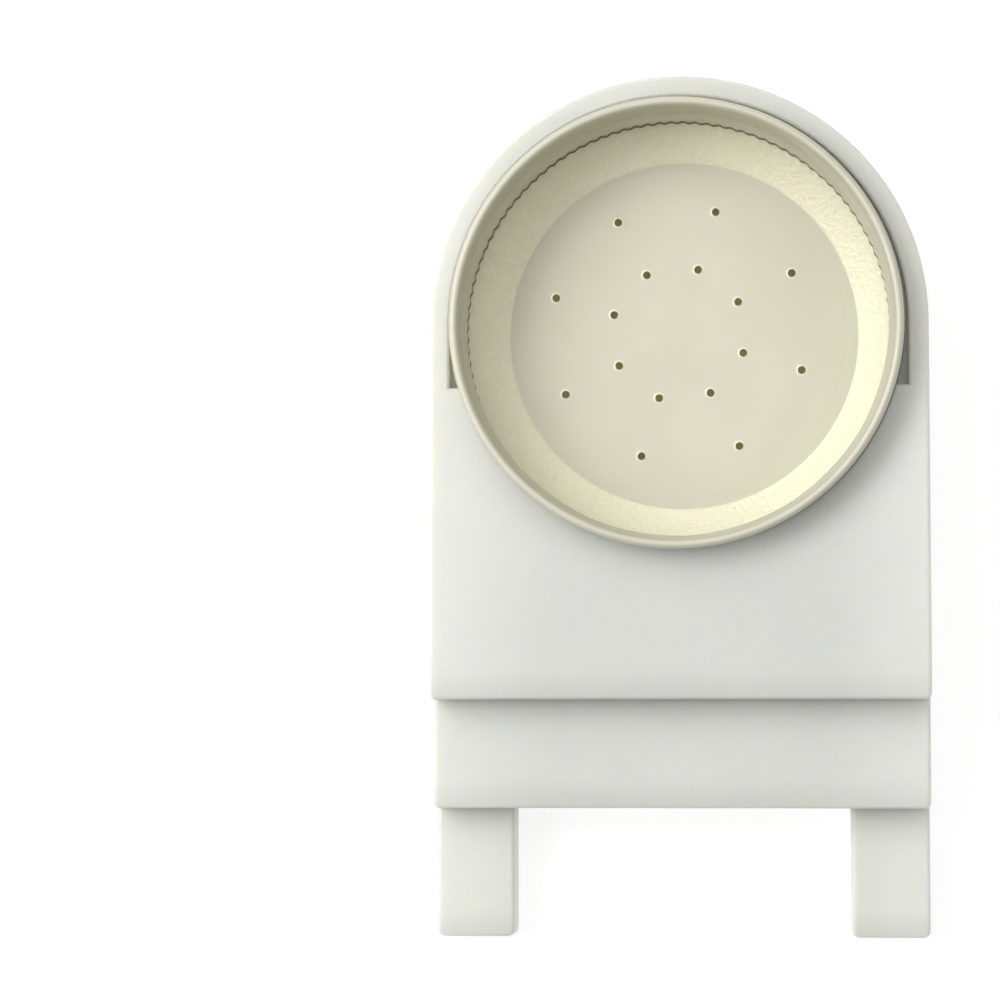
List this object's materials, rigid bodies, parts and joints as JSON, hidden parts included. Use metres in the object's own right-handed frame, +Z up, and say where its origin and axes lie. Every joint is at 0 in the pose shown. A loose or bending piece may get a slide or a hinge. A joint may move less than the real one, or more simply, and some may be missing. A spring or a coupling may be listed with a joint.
{
  "type": "hive entrance feeder",
  "caption": "Stepped plastic beehive entrance feeder whose round seat holds a perforated screw jar lid; two prongs and a low throat enter the hive.",
  "frame": {"origin": "on the vertical axis of the jar lid's seat, at the level of the feeder's underside", "axes": "+Z up, out of the open lid; -Y along the prongs into the hive; +Y towards the round end; +X to the right when facing the hive"},
  "size_m": [0.0808, 0.1399, 0.0297],
  "materials": {
    "white_plastic": "milky white, slightly translucent, satin",
    "floor_plastic": "milky white, fine moulded texture",
    "lacquered_tinplate": "cream lacquer over tinplate, satin",
    "plastisol": "cream sealing compound with an orange-peel surface"
  },
  "bodies": {
    "feeder": {"feeder_body": "white_plastic", "floor_plate": "floor_plastic"},
    "lid": {"lid_shell": "lacquered_tinplate", "lid_gasket": "plastisol"}
  },
  "joints": [
    {"name": "lid_lift", "type": "slide", "parent": "feeder", "child": "lid", "axis": [0, 0, 1], "range_m": [0, 0.03]}
  ]
}
